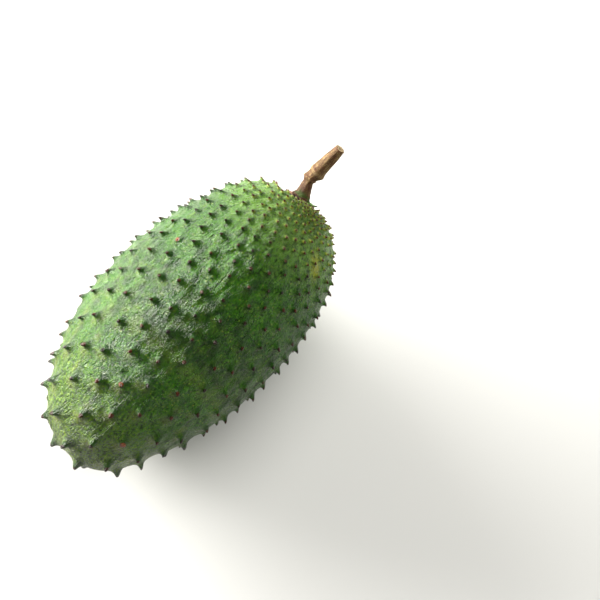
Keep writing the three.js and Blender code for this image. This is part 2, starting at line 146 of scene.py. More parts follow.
FILL_SPACING = 1.17  # between the plain skin's points
FILL_JITTER = 0.25  # their furthest shift, per spacing
# Side of a spine from its foot to its tip: share of the radius, share of the height.
SPINE_SIDE = [
    (2.2, 0.0),
    (1.6, 0.02),
    (1.2, 0.08),
    (0.95, 0.19),
    (0.78, 0.33),
    (0.64, 0.49),
    (0.53, 0.64),
    (0.43, 0.78),
    (0.33, 0.89),
    (0.19, 0.975),
    (0.0, 1.0),
]
POINTS_ROUND = (8, 12)  # round a small spine, and round a large one
SMALL_SPINE = 1.25  # radius below which a spine has fewer rings and points
RING_CLEARANCE = 0.4  # from a spine's widest ring to the plain skin's points
# Soft marks of painted shade and painted light beside a spine, in its radii: place along its row, reach along
# it, reach across it.
# Painted shade on a spine's side towards the collar, away from the light, partly the darker green round its
# foot.
PAINTED_SHADE_MARK = (-0.9, 1.5, 1.1)
# Painted light on a spine's side away from the collar.
PAINTED_LIGHT_MARK = (1.9, 1.3, 1.6)
HOOK = 0.1  # further sideways travel of a tip, per height
LEAN_SPREAD = 1.4  # radians between the furthest leans either way
STUBS = 0.015  # share of the spines that have lost their tips
STUBS_FROM = 0.35  # none breaks nearer the place where they crowd, as a share of the fruit
STUB_HEIGHT = 0.4  # share of a broken spine that still stands
BROKEN_AT = [(-48, -6, 83), (-67, -24, 65)]  # the two that show most
PATCH_AT = (62, -27.5, 75.5)  # the yellow, spotted patch on the shoulder
PATCH_WAY = np.array([0.66, 0.65, 0.376])  # its long direction
PATCH_REACH = (7.5, 3.8)  # along it and across it
# Painted shade on the skin round the collar's edge, where the collar shades it.
PAINTED_SHADE_RING = 6.5  # width of the dark ring of skin at the collar's edge
CREASE_DEPTH = 0.5  # of the long creases between the mounds
CREASE_SIZE = (7.0, 22.0)  # across the grain, along it
CREASE_WIDTH = 0.14  # as a share of the noise that draws it
WRINKLE_DEPTH = 0.55
WRINKLE_SIZE = (3.0, 8.0)
LUMP_DEPTH = 0.35
LUMP_SIZE = 9.0
STEM_RINGS = 260
STEM_SIDES = 96
STEM_START = 0.6  # how far below its foot the stem's mesh begins
CUT_FACE = [(0.93, 0.1), (0.8, 0.05), (0.6, -0.05), (0.4, -0.1), (0.2, -0.25), (0.08, -0.5)]  # radius, rise
JOINT_RINGS = [  # ridges round the stem's joint: distance from the collar, height
    (8.9, 0.12),
    (9.7, 0.3),
    (10.5, 0.35),
    (11.3, 0.22),
    (12.1, 0.12),
]
JOINT_RING_WIDTH = 0.26
COLLAR_FOOT = (0.8, -0.28)  # as in COLLAR_SIDE, sunk so that no gap shows under the collar
COLLAR_TOP = (0.5, 1.02)
FRESH = {12: 0.5, 72: 0.0, 178: 1.0}  # by a sepal's degrees: dried and dark, by tan, to green
BLADE_START = 0.001  # least value on a sepal, which tells it from the ring
GRAIN_ROUND = 50.0  # millimetres for a unit of the grain's turn round the fruit
CHUNK = 4000  # points worked on at a time, to spare memory

# ---------------------------------------------------------------- small helpers

GOLDEN_ANGLE = math.pi * (3 - math.sqrt(5))
HEX_CELL = math.sqrt(3) / 2  # area of a point's cell in a hexagonal lattice of spacing 1
UP = np.array([0.0, 0.0, 1.0])


def draw(i, stream):
    """A repeatable draw from 0 to 1 for each whole number."""
    s = np.sin(np.asarray(i) * 12.9898 + stream * 78.233) * 43758.5453
    return s - np.floor(s)


def smooth(x):
    """A soft step from 0 to 1 as x goes from 0 to 1."""
    x = np.clip(x, 0, 1)
    return x * x * (3 - 2 * x)


def unit(v):
    return v / np.linalg.norm(v, axis=-1, keepdims=True)


def dot(a, b):
    return np.sum(a * b, axis=-1)


def along_fruit(values, share):
    """A list of three read from where the spines crowd, by mid-fruit, to the blossom end."""
    start, middle, end = values
    first = start + (middle - start) * smooth(share * 2)
    last = middle + (end - middle) * smooth(share * 2 - 1)
    return np.where(share < 0.5, first, last)


def noise_at(points, size, seed=0):
    """Smooth noise from -1 to 1 with features of the given size."""
    places = np.asarray(points) / size + 17.3 * seed
    return np.array([noise.noise(Vector(p)) for p in places.tolist()])


# ---------------------------------------------------------------- the ovoid and its chart


def profile(theta):
    """Place along the axis and radius, for angles from the stem's pole."""
    c = np.cos(theta)
    return HALF_LENGTH * c, HALF_WIDTH * np.sin(theta) ** END_POWER * (1 + EGG * c)


def latitude_rows(steps=1440):
    """Conformal latitudes and the angles they belong to."""
    theta = np.pi * np.arange(1, steps) / steps
    x, r = profile(theta)
    change = np.hypot(np.diff(x), np.diff(r)) / ((r[1:] + r[:-1]) / 2)
    latitude = np.concatenate([[0], np.cumsum(change)])
    return latitude - latitude[steps // 2 - 1], theta


CHART = latitude_rows()


def theta_of(n):
    """Angles from the stem's pole on the fruit, for chart directions."""
    return np.interp(-np.arctanh(np.clip(n[..., 0], -0.9999999, 0.9999999)), *CHART)


def scale_at(n):
    """Millimetres on the skin for a radian on the chart."""
    _, r = profile(theta_of(n))
    return r / np.maximum(np.hypot(n[..., 1], n[..., 2]), 1e-4)


def on_sphere(theta, phi):
    """Unit direction at an angle from +X and a roll from +Y up."""
    return np.stack([np.cos(theta), np.sin(theta) * np.cos(phi), np.sin(theta) * np.sin(phi)], -1)


def swell_at(theta, phi):
    """How far the swells raise the skin, for angles from the stem's pole and rolls."""
    here = on_sphere(theta, phi)
    total = np.zeros(here.shape[:-1])
    for start, roll, height in SWELLS:
        centre = on_sphere(math.radians(start), math.radians(roll))
        away = np.arccos(np.clip(here @ centre, -1, 1))
        total += height * np.exp(-((away / SWELL_WIDTH) ** 2))
    return total


def ovoid_point(n):
    """The skin with no spines for chart directions, with the ovoid's middle at the origin."""
    theta = theta_of(n)
    phi = np.arctan2(n[..., 2], n[..., 1])
    x, r = profile(theta)
    x0, r0 = profile(theta - 1e-4)
    x1, r1 = profile(theta + 1e-4)
    normal = unit(np.stack([r1 - r0, (x0 - x1) * np.cos(phi), (x0 - x1) * np.sin(phi)], -1))
    p = np.stack([x, r * np.cos(phi), r * np.sin(phi)], -1)
    p = p + normal * swell_at(theta, phi)[..., None]
    p[..., 1] += SIDE_BEND * np.cos(theta) ** 2
    p[..., 2] += LIFT_BEND * np.cos(theta) ** 2
    c, s = math.cos(REST_TILT), math.sin(REST_TILT)
    return np.stack([p[..., 0] * c - p[..., 2] * s, p[..., 1], p[..., 0] * s + p[..., 2] * c], -1)


def chart_axes(n, pole):
    """Two unit directions square to n on the chart: away from the pole given, and round it."""
    away = unit(n * (n @ pole)[..., None] - pole)
    return away, np.cross(n, away)


def swing(n, pole, angle, bearing):
    """Chart directions at an angle and a bearing from n; bearing 0 leads away from the pole."""
    away, turn = chart_axes(n, pole)
    sideways = away * np.cos(bearing)[..., None] + turn * np.sin(bearing)[..., None]
    return n * np.cos(angle)[..., None] + sideways * np.sin(angle)[..., None]


def step(n, pole, distance, bearing):
    """As swing, with a distance on the skin in place of the angle."""
    return swing(n, pole, distance / scale_at(n), bearing)


def resting_spot(steps=200):
    """Middle of the flat spot that the fruit rests on."""
    share = 0.3 + 0.4 * np.arange(steps + 1) / steps
    theta, phi = np.meshgrid(np.pi * share, -np.pi * share, indexing="ij")
    p = ovoid_point(on_sphere(theta, phi)).reshape(-1, 3)
    return p[np.argmin(p[:, 2])] + UP * PRESSED_DEPTH


SPOT = resting_spot()


def bare_skin(n):
    """The skin with no spines, with the resting spot at the origin."""
    return ovoid_point(n) - SPOT


def normal_at(n, surface):
    """Outward directions square to a surface, from small steps on the chart."""
    ref = np.where(np.abs(n[..., :1]) > 0.9, UP, [1.0, 0.0, 0.0])
    a = unit(n * dot(n, ref)[..., None] - ref)
    b = np.cross(n, a)
    along_a = surface(unit(n + a * 1e-3)) - surface(unit(n - a * 1e-3))
    along_b = surface(unit(n + b * 1e-3)) - surface(unit(n - b * 1e-3))
    return unit(np.cross(along_a, along_b))


# ---------------------------------------------------------------- the collar's seat

POLE_SCALE = scale_at(unit(np.array([1, 0.01, 0])))
COLLAR_POLE = unit(np.array([POLE_SCALE, *COLLAR_OFF_POLE]))
CROWD_POLE = unit(np.array([POLE_SCALE, *CROWD_OFF_POLE]))


def turned(v, axis, angle):
    """A vector turned round an axis."""
    axis = unit(axis)
    kept = axis * (v @ axis)
    return kept + (v - kept) * math.cos(angle) + np.cross(axis, v) * math.sin(angle)


SKIN_AT_COLLAR = normal_at(COLLAR_POLE[None], bare_skin)[0]
COLLAR_AXIS = turned(SKIN_AT_COLLAR, np.cross(SKIN_AT_COLLAR, UP), COLLAR_LEAN)
SEAT = bare_skin(COLLAR_POLE) - COLLAR_AXIS * SEAT_DEPTH


def seated_skin(n):
    """Skin with the collar's flat seat let into it."""
    p = bare_skin(n)
    off = p - SEAT
    height = off @ COLLAR_AXIS
    away = np.linalg.norm(off, axis=-1)
    radius = np.sqrt(np.maximum(away**2 - height**2, 0))
    flat = 1 - smooth((radius - SEAT_RADIUS) / SEAT_FADE)
    flat = np.where(away > 1.5 * (SEAT_RADIUS + SEAT_FADE), 0, flat)
    return p - COLLAR_AXIS * (height * flat)[..., None]


# ---------------------------------------------------------------- spines, by the CAD's rule


def lattice_rows(spacing_at, bands=900, around=24):
    """Counts so far, angles from the crowd's pole and distances from it."""
    angle = np.pi * (np.arange(bands) + 0.5) / bands
    turn = 2 * np.pi * np.arange(around) / around
    angles, turns = np.meshgrid(angle, turn, indexing="ij")
    s = scale_at(swing(np.broadcast_to(CROWD_POLE, (bands, around, 3)), UP, angles, turns))
    distance = np.cumsum(s.mean(axis=1)) * np.pi / bands
    area = 2 * np.pi * np.sin(angle) * (s**2).mean(axis=1) * np.pi / bands
    return np.cumsum(area / (HEX_CELL * spacing_at(distance) ** 2)), angle, distance


_, ROW_ANGLES, ROW_DISTANCES = lattice_rows(lambda d: d * 0 + 1)
FARTHEST = ROW_DISTANCES[-1]


def spine_spacing(distance):
    """Distance between neighbouring spines, for distances from where they crowd."""
    crowded = np.exp(-((distance / SPACING_REACH) ** SPACING_POWER))
    end = smooth((distance / FARTHEST - 1 + END_SHARE) / END_SHARE)
    tighter = (SPACING_FAR - SPACING_CROWDED) * crowded
    return SPACING_FAR - tighter - (SPACING_FAR - SPACING_AT_END) * end


def spiral(spacing_at, jitter):
    """Chart directions, distances and spacings of the golden-angle spiral's points."""
    count, angle, distance = lattice_rows(spacing_at)
    i = np.arange(int(math.ceil(count[-1] - 0.5)))
    row = np.searchsorted(count, i + 0.5)
    spacing = spacing_at(distance[row])
    poles = np.broadcast_to(CROWD_POLE, (len(i), 3))
    exact = swing(poles, UP, angle[row], i * GOLDEN_ANGLE)
    off = jitter * spacing * np.sqrt(draw(i, 1))
    return step(exact, CROWD_POLE, off, 2 * np.pi * draw(i, 2)), distance[row], spacing


class Spines:
    """All the fruit's spines, one entry each in every array."""

    def __init__(self):
        n, distance, spacing = spiral(spine_spacing, SPINE_JITTER)
        keep = np.linalg.norm(seated_skin(n) - SEAT, axis=1) > FIRST_SPINE
        n, distance, spacing = n[keep], distance[keep], spacing[keep]
        i = np.arange(len(n))
        share = (distance / FARTHEST) ** SPINE_GROWTH_POWER
        away, turn = chart_axes(n, CROWD_POLE)
        self.n = n
        self.share = share
        self.foot = seated_skin(n)
        self.up = normal_at(n, seated_skin)
        self.away = unit(seated_skin(unit(n + away * 2e-3)) - self.foot)
        self.turn = unit(seated_skin(unit(n + turn * 2e-3)) - self.foot)
        radius = along_fruit(SPINE_RADIUS, share) * (0.9 + 0.2 * draw(i, 6))
        self.radius = np.minimum(radius, WIDEST_SPINE * spacing)
        self.mound = along_fruit(MOUND_HEIGHT, share) * (0.75 + 0.5 * draw(i, 7))
        self.reach = MOUND_REACH * spacing
        self.stretch = 1 + (MOUND_STRETCH - 1) * (1 - smooth(distance / STRETCH_REACH))
        self.height = self.standing(along_fruit(SPINE_HEIGHT, share) * (0.8 + 0.4 * draw(i, 5)))
        self.stub = (draw(i, 11) < STUBS) & (share > STUBS_FROM) & (self.height > 0)
        for place in BROKEN_AT:
            self.stub[np.argmin(np.linalg.norm(self.foot - place, axis=1))] = True
        bend = (draw(i, 12) - 0.5) * LEAN_SPREAD
        self.lean = self.away * np.cos(bend)[:, None] + self.turn * np.sin(bend)[:, None]

    def standing(self, height):
        """Heights that keep tips clear of the surface that the fruit lies on; 0 where pressed flat."""
        drop = -self.up[:, 2] - SPINE_LEAN * self.away[:, 2]
        room = self.foot[:, 2] + self.mound * self.up[:, 2] - FLOOR_CLEARANCE
        height = np.where(drop > 0, np.minimum(height, room / np.maximum(drop, 1e-6)), height)
        return np.where(height < LEAST_SPINE, 0, height)


# ---------------------------------------------------------------- the fine skin

SIDE_T = [t for t, _ in reversed(SPINE_SIDE)]
SIDE_H = [h for _, h in reversed(SPINE_SIDE)]


def fine_directions(spines):
    """Chart directions of the fine skin's points: rings round every spine and a lattice between."""
    found = [spines.n]
    for small, around in ((True, POINTS_ROUND[0]), (False, POINTS_ROUND[1])):
        kind = np.flatnonzero((spines.radius < SMALL_SPINE) == small)
        sides = SPINE_SIDE[1:-1:2] if small else SPINE_SIDE[:-1]
        for ring, (t, _) in enumerate(sides):
            for k in range(around):
                bearing = 2 * np.pi * (k + 0.5 * (ring % 2)) / around + 6 * draw(kind, 9)
                found.append(step(spines.n[kind], CROWD_POLE, t * spines.radius[kind], bearing))
    fill, _, _ = spiral(lambda d: d * 0 + FILL_SPACING, FILL_JITTER)
    found.append(fill[clear_of_spines(seated_skin(fill), spines)])
    return np.concatenate(found)


def clear_of_spines(points, spines):
    """Which points lie outside the rings of points round every spine."""
    clear = np.ones(len(points), bool)
    widest = np.where(spines.radius < SMALL_SPINE, SPINE_SIDE[1][0], SPINE_SIDE[0][0])
    wide = widest * spines.radius + RING_CLEARANCE
    for start in range(0, len(points), CHUNK):
        part = slice(start, start + CHUNK)
        gap = np.linalg.norm(points[part, None] - spines.foot[None], axis=2)
        clear[part] = np.all(gap > wide, axis=1)
    return clear


def fine_skin(n, spines):
    """Places of the skin's points, and marks for each: its share up a spine (tip), how much it lies in the
    painted shade on a spine's side towards the collar (painted_shade_side), or in the painted light on its
    other side (painted_lit_side), and 1 on a broken spine."""
    bare = seated_skin(n)
    up = normal_at(n, seated_skin)
    places = np.zeros_like(bare)
    marks = {name: np.zeros(len(n)) for name in ("tip", "painted_shade_side", "painted_lit_side", "stub")}
    folds = skin_folds(n, bare)
    for start in range(0, len(n), CHUNK):
        part = slice(start, start + CHUNK)
        off = bare[part, None] - spines.foot[None]
        along = np.einsum("mij,ij->mi", off, spines.away)
        across = np.einsum("mij,ij->mi", off, spines.turn)
        out = np.einsum("mij,ij->mi", off, spines.up)
        e = np.sqrt((along / spines.stretch) ** 2 + across**2 + out**2) / spines.reach
        hill = np.exp(-np.hypot(e, MOUND_ROUNDING)) - math.exp(-MOUND_END)
        relief = np.sum(np.where(e > MOUND_END, 0, spines.mound * hill), axis=1)
        relief *= smooth((np.linalg.norm(bare[part] - SEAT, axis=1) - SEAT_RADIUS) / 1.5)
        t = np.sqrt(along**2 + across**2 + out**2) / spines.radius
        share = np.interp(t, SIDE_T, SIDE_H)
        rows = np.arange(len(share))
        which = np.argmax(share * (spines.height + 0.01), axis=1)
        g = share[rows, which]
        broken = spines.stub[which]
        high = np.where(broken, np.minimum(g, STUB_HEIGHT), g)
        rise = spines.height[which] * high
        hook = SPINE_LEAN * high**1.5 + HOOK * high**4
        sideways = spines.lean[which] * (spines.height[which] * hook)[:, None]
        fold = folds[part] * (1 - smooth(g / 0.2))
        places[part] = bare[part] + up[part] * (relief + rise + fold)[:, None] + sideways
        marks["tip"][part] = g
        marks["stub"][part] = broken
        x, y = along / spines.radius, across / spines.radius
        # Painted shade and painted light beside each spine.
        marks["painted_shade_side"][part] = soft_mark(x, y, PAINTED_SHADE_MARK)
        marks["painted_lit_side"][part] = soft_mark(x, y, PAINTED_LIGHT_MARK)
    return places, marks


def soft_mark(x, y, mark):
    """How strongly each point lies in the mark beside any spine."""
    centre, reach_along, reach_across = mark
    return np.max(np.exp(-(((x - centre) / reach_along) ** 2) - (y / reach_across) ** 2), axis=1)


def skin_folds(n, bare):
    """Height of the creases and wrinkles that follow the skin's grain, and of its lumps."""
    grain = flow_of(n) * (GRAIN_ROUND, GRAIN_ROUND, 1)
    across, along = CREASE_SIZE
    line = noise_at(grain, (across, across, along), 11)
    crease = -CREASE_DEPTH * np.clip(1 - np.abs(line) / CREASE_WIDTH, 0, 1) ** 1.5
    across, along = WRINKLE_SIZE
    wrinkle = WRINKLE_DEPTH * noise_at(grain, (across, across, along), 12)
    lumps = LUMP_DEPTH * noise_at(bare, LUMP_SIZE, 13)
    return (crease + wrinkle + lumps) * smooth((np.linalg.norm(bare - SEAT, axis=1) - SEAT_RADIUS) / 4)


def flow_of(n):
    """Coordinates that follow the skin's grain: cosine and sine of the bearing, and the distance."""
    angle = np.arccos(np.clip(n @ CROWD_POLE, -1, 1))
    side, other = chart_axes(CROWD_POLE, UP)
    a, b = n @ side, n @ other
    size = np.maximum(np.hypot(a, b), 1e-9)
    return np.stack([a / size, b / size, np.interp(angle, ROW_ANGLES, ROW_DISTANCES)], -1)


def chart_triangles(n):
    """Delaunay triangles of chart directions, found on the plane that the sphere opens onto."""
    flat = n[:, :2] / (1.0000001 + n[:, 2:])
    found = delaunay_2d_cdt([Vector(q) for q in flat.tolist()], [], [], 0, 1e-9)
    faces = np.array([f for f in found[2] if len(f) == 3])
    mid = n[faces].mean(axis=1)
    out = dot(np.cross(n[faces[:, 1]] - n[faces[:, 0]], n[faces[:, 2]] - n[faces[:, 0]]), mid) > 0
    faces[~out] = faces[~out][:, ::-1]
    return np.concatenate([faces, closing_fan(faces)])


def closing_fan(faces):
    """Triangles over the one small hole left where the plane's edge was."""
    edges = {(int(a), int(b)) for f in faces for a, b in zip(f, np.roll(f, -1))}
    following = {b: a for a, b in edges if (b, a) not in edges}
    loop = [next(iter(following))]
    while following[loop[-1]] != loop[0]:
        loop.append(following[loop[-1]])
    return np.array([(loop[0], loop[k], loop[k + 1]) for k in range(1, len(loop) - 1)])


# ---------------------------------------------------------------- meshes


def make_mesh(name, points, faces, node, material):
    """A smooth piece from points in millimetres, standing for a CAD node."""
    mesh = bpy.data.meshes.new(name)
    mesh.from_pydata((np.asarray(points) * MM).tolist(), [], [tuple(map(int, f)) for f in faces])
    mesh.polygons.foreach_set("use_smooth", [True] * len(mesh.polygons))
    mesh.materials.append(material)
    piece = bpy.data.objects.new(name, mesh)
    bpy.context.scene.collection.objects.link(piece)
    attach(piece, "root")
    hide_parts(node)
    return piece


def add_values(piece, name, values):
    """Keeps a number or a vector for each point, for the material to read."""
    kind = "FLOAT" if np.ndim(values) == 1 else "FLOAT_VECTOR"
    made = piece.data.attributes.new(name, kind, "POINT")
    key = "value" if np.ndim(values) == 1 else "vector"
    made.data.foreach_set(key, np.asarray(values, dtype=np.float32).ravel())


def inside_node(points, node):
    """Points kept within a CAD node's box."""
    low, high = (np.array(corner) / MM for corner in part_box(node))
    return np.clip(points, low, high)


def tube_faces(rings, sides):
    """Triangles of a closed tube, facing out, for its rings in order and then its two end points."""
    faces = []
    for k in range(rings - 1):
        for j in range(sides):
            a, b = k * sides + j, k * sides + (j + 1) % sides
            faces += [(a, b, b + sides), (a, b + sides, a + sides)]
    first = rings * sides
    end = first - sides
    faces += [(first, (j + 1) % sides, j) for j in range(sides)]
    return faces + [(first + 1, end + j, end + (j + 1) % sides) for j in range(sides)]


# ---------------------------------------------------------------- material nodes


class Shader:
    """A material under construction, with short ways to add and join nodes."""

    def __init__(self, name):
        self.material = bpy.data.materials.new(name)
        self.material.use_nodes = True
        self.tree = self.material.node_tree
        self.surface = self.tree.nodes["Principled BSDF"]

    def put(self, socket, value):
        """Links a node's output to a socket, or sets the socket's constant."""
        if isinstance(value, bpy.types.NodeSocket):
            self.tree.links.new(value, socket)
        else:
            socket.default_value = value

    def node(self, kind, settings=None, **inputs):
        """Adds a node; settings are its own properties, and inputs are its sockets."""
        made = self.tree.nodes.new("ShaderNode" + kind)
        for key, value in (settings or {}).items():
            setattr(made, key, value)
        for key, value in inputs.items():
            self.put(made.inputs[key.replace("_", " ")], value)
        return made

    def value(self, name, vector=False):
        """What add_values kept for the mesh's points."""
        made = self.node("Attribute", {"attribute_name": name})
        return made.outputs["Vector" if vector else "Fac"]

    def place(self):
        """Place on the object, in metres."""
        return self.node("TexCoord").outputs["Object"]

    def math(self, operation, a, b=0.0):
        made = self.node("Math", {"operation": operation})
        self.put(made.inputs[0], a)
        self.put(made.inputs[1], b)
        return made.outputs[0]

    def stretched(self, vector, scale):
        """A place with each of its coordinates scaled."""
        made = self.node("VectorMath", {"operation": "MULTIPLY"})
        self.put(made.inputs[0], vector)
        self.put(made.inputs[1], scale)
        return made.outputs[0]

    def noise(self, vector, scale, detail=2.0, rough=0.5, distort=0.0):
        settings = {"Detail": detail, "Roughness": rough, "Distortion": distort}
        return self.node("TexNoise", Vector=vector, Scale=scale, **settings).outputs["Fac"]

    def cracks(self, vector, scale):
        """Distance to the nearest edge between cells."""
        made = self.node("TexVoronoi", {"feature": "DISTANCE_TO_EDGE"}, Vector=vector, Scale=scale)
        return made.outputs["Distance"]

    def ramp(self, value, low, high, start=0.0, end=1.0):
        """A soft step from start, where the value is low, to end, where it is high."""
        reach = {"From_Min": low, "From_Max": high, "To_Min": start, "To_Max": end}
        made = self.node("MapRange", {"interpolation_type": "SMOOTHSTEP"}, Value=value, **reach)
        return made.outputs["Result"]

    def mix(self, share, a, b):
        """Colour a with a share of colour b laid over it."""
        made = self.node("Mix", {"data_type": "RGBA"})
        self.put(made.inputs[0], share)
        self.put(made.inputs[6], a)
        self.put(made.inputs[7], b)
        return made.outputs[2]

    def bump(self, height, distance, strength=1.0, normal=None):
        made = self.node("Bump", Height=height, Distance=distance, Strength=strength)
        if normal is not None:
            self.put(made.inputs["Normal"], normal)
        return made.outputs["Normal"]

    def finish(self, **inputs):
        """Sets the surface's sockets and gives the material."""
        for key, value in inputs.items():
            self.put(self.surface.inputs[key.replace("_", " ")], value)
        return self.material


def colour(red, green, blue):
    """A colour given as it shows on screen, 0 to 255, for a shader."""

    def linear(c):
        c /= 255
        return c / 12.92 if c <= 0.04045 else ((c + 0.055) / 1.055) ** 2.4

    return (linear(red), linear(green), linear(blue), 1.0)


def skin_material():
    s = Shader("soursop_skin")
    place = s.place()
    flow = s.value("flow", vector=True)
    share = s.value("share")

    def grain(along):
        """Place on the skin in its own grain: round the fruit, and shortened along it."""
        return s.stretched(flow, (GRAIN_ROUND, GRAIN_ROUND, along))

    broad = s.noise(place, 28.0, 3.0)
    streaks = s.noise(grain(0.35), 0.42, 4.0, 0.6, 0.6)
    strokes = s.noise(grain(0.42), 0.9, 3.0, 0.6, 1.2)
    speckle = s.noise(place, 700.0, 3.0, 0.65)
    grains = s.node("TexVoronoi", {"feature": "F1"}, Vector=place, Scale=540.0)
    bright = s.node("SeparateColor", Color=grains.outputs["Color"]).outputs["Red"]
    dots = s.math("MULTIPLY", s.ramp(grains.outputs["Distance"], 0.34, 0.12), s.ramp(bright, 0.3, 0.9))
    end = s.ramp(share, 0.6, 0.95)

    # Green, by large areas and then by ever finer marks.
    green = s.mix(s.ramp(broad, 0.35, 0.65), colour(34, 86, 5), colour(52, 105, 12))
    green = s.mix(s.math("MULTIPLY", end, 0.75), green, colour(96, 122, 14))
    green = s.mix(s.ramp(share, 0.28, 0.08, 0.0, 0.95), green, colour(122, 166, 74))
    green = s.mix(s.ramp(streaks, 0.5, 0.72, 0.0, 0.45), green, colour(62, 112, 24))
    green = s.mix(s.ramp(strokes, 0.52, 0.64, 0.0, 0.5), green, colour(76, 122, 34))
    green = s.mix(s.ramp(strokes, 0.46, 0.36, 0.0, 0.7), green, colour(14, 50, 2))
    green = s.mix(s.ramp(speckle, 0.46, 0.38, 0.0, 0.8), green, colour(10, 40, 0))
    green = s.mix(s.ramp(speckle, 0.56, 0.62, 0.0, 0.6), green, colour(92, 128, 40))
    green = s.mix(s.math("MULTIPLY", dots, 0.6), green, colour(132, 148, 58))
    green = s.mix(s.math("MULTIPLY", end, s.ramp(speckle, 0.52, 0.6, 0.0, 0.65)), green, colour(140, 160, 62))
    green = s.mix(s.math("MULTIPLY", end, s.ramp(speckle, 0.48, 0.42, 0.0, 0.8)), green, colour(36, 44, 6))

    # Painted shade in the creases, painted shade (partly the darker green round a spine's foot) and painted
    # light on the two sides of each spine, the yellow patch, and a ring of painted shade at the collar.
    line = s.noise(grain(0.32), 0.09, 2.0, 0.5, 0.8)
    crease = s.ramp(s.math("ABSOLUTE", s.math("SUBTRACT", line, 0.5)), 0.0, 0.02)
    crease = s.math("MAXIMUM", crease, s.ramp(share, 0.45, 0.65))
    # Painted shade along the creases.
    green = s.mix(s.ramp(crease, 1.0, 0.0, 0.0, 0.35), green, colour(22, 52, 8))
    # Painted light on the side of each spine away from the collar, stronger towards the blossom end.
    painted_lit_share = s.math("MULTIPLY", s.value("painted_lit_side"), s.ramp(share, 0.35, 0.9, 0.1, 0.55))
    green = s.mix(painted_lit_share, green, colour(126, 132, 62))
    # Painted shade on the side of each spine towards the collar, partly the darker green round its foot.
    green = s.mix(s.math("MULTIPLY", s.value("painted_shade_side"), 0.8), green, colour(20, 50, 16))
    patch = s.math("MULTIPLY", s.ramp(s.value("patch"), 0.05, 0.95), s.ramp(speckle, 0.38, 0.56, 0.2, 0.9))
    green = s.mix(patch, green, colour(160, 162, 50))
    # A ring of painted shade on the skin round the collar, its edge broken by noise.
    rim = s.math("ADD", s.value("rim"), s.ramp(s.noise(place, 300.0), 0.3, 0.7, -0.3, 0.3))
    green = s.mix(s.ramp(rim, 0.35, 0.65, 0.0, 0.9), green, colour(50, 28, 28))

    # Spines: green cones, brown tips, and cork where the tip is lost.
    tip = s.value("tip")
    up = s.math("ADD", tip, s.ramp(s.noise(place, 300.0), 0.3, 0.7, -0.1, 0.1))
    crowd = s.ramp(share, 0.22, 0.08)
    cone = s.mix(crowd, colour(36, 72, 20), colour(158, 174, 60))
    raised = s.math("ADD", up, s.math("MULTIPLY", crowd, 0.12))
    spine = s.mix(s.ramp(raised, 0.15, 0.5, 0.0, 0.8), green, cone)
    brown = s.mix(s.ramp(s.noise(place, 90.0), 0.4, 0.6), colour(26, 8, 2), colour(68, 28, 8))
    brown = s.mix(s.ramp(s.noise(place, 160.0), 0.54, 0.66, 0.0, 0.8), brown, colour(36, 26, 28))
    brown = s.mix(s.math("MULTIPLY", crowd, 0.7), brown, colour(96, 40, 12))
    spine = s.mix(s.ramp(s.math("SUBTRACT", up, s.math("MULTIPLY", end, 0.1)), 0.54, 0.7), spine, brown)
    cork = s.mix(s.ramp(s.noise(place, 900.0), 0.4, 0.6), colour(84, 36, 12), colour(148, 80, 30))
    cork = s.mix(s.ramp(tip, 0.52, 0.44), cork, colour(60, 26, 12))
    stub_top = s.math("MULTIPLY", s.value("stub"), s.ramp(tip, 0.34, 0.42))
    spine = s.mix(stub_top, spine, cork)

    # Relief.
    crackle = s.ramp(s.cracks(grain(0.6), 0.8), 0.0, 0.14)
    fine = s.math("ADD", s.math("MULTIPLY", crackle, 0.4), s.math("MULTIPLY", speckle, 1.2))
    fine = s.math("ADD", fine, s.math("MULTIPLY", strokes, 1.6))
    normal = s.bump(crease, 0.0004, 1.0)
    normal = s.bump(streaks, 0.001, 1.0, normal)
    normal = s.bump(fine, 0.0006, 1.0, normal)
    return s.finish(
        Base_Color=spine,
        Roughness=s.ramp(speckle, 0.38, 0.6, 0.4, 0.24),
        Normal=normal,
        Specular_IOR_Level=0.44,
        Sheen_Weight=0.08,
        Sheen_Roughness=0.25,
        Sheen_Tint=colour(255, 255, 240),
    )


# ---------------------------------------------------------------- the fruit


def make_fruit():
    spines = Spines()
    n = fine_directions(spines)
    places, marks = fine_skin(n, spines)
    places = inside_node(places, "fruit")
    piece = make_mesh("fruit_skin", places, chart_triangles(n), "fruit", skin_material())
    marks["flow"] = flow_of(n)
    marks["share"] = marks["flow"][:, 2] / FARTHEST
    off = places - PATCH_AT
    along = off @ PATCH_WAY
    across_squared = np.sum(off**2, axis=1) - along**2
    marks["patch"] = np.exp(-((along / PATCH_REACH[0]) ** 2) - across_squared / PATCH_REACH[1] ** 2)
    # How far each point lies in the ring of painted shade round the collar.
    marks["rim"] = 1 - smooth((np.linalg.norm(places - SEAT, axis=1) - COLLAR_RADIUS) / PAINTED_SHADE_RING)
    for name, values in marks.items():
        add_values(piece, name, values)


# ---------------------------------------------------------------- the stem

LEVEL = unit(np.cross(UP, COLLAR_AXIS))
OVER = np.cross(COLLAR_AXIS, LEVEL)


def smooth_line(knots, steps=80):
    """Points of the centripetal curve through the knots."""
    knots = np.array([2 * knots[0] - knots[1], *knots, 2 * knots[-1] - knots[-2]])
    time = np.sqrt(np.linalg.norm(np.diff(knots, axis=0), axis=1))
    t = (np.arange(steps) / steps)[:, None]
    found = []
    for k in range(1, len(knots) - 2):
        p0, p1, p2, p3 = knots[k - 1 : k + 3]
        d0, d1, d2 = time[k - 1 : k + 2]
        leave = ((p1 - p0) / d0 - (p2 - p0) / (d0 + d1) + (p2 - p1) / d1) * d1
        arrive = ((p2 - p1) / d1 - (p3 - p1) / (d1 + d2) + (p3 - p2) / d2) * d1
        square = 3 * (p2 - p1) - 2 * leave - arrive
        cube = 2 * (p1 - p2) + leave + arrive
        found.append(p1 + t * leave + t**2 * square + t**3 * cube)
    return np.concatenate([*found, knots[-2][None]])


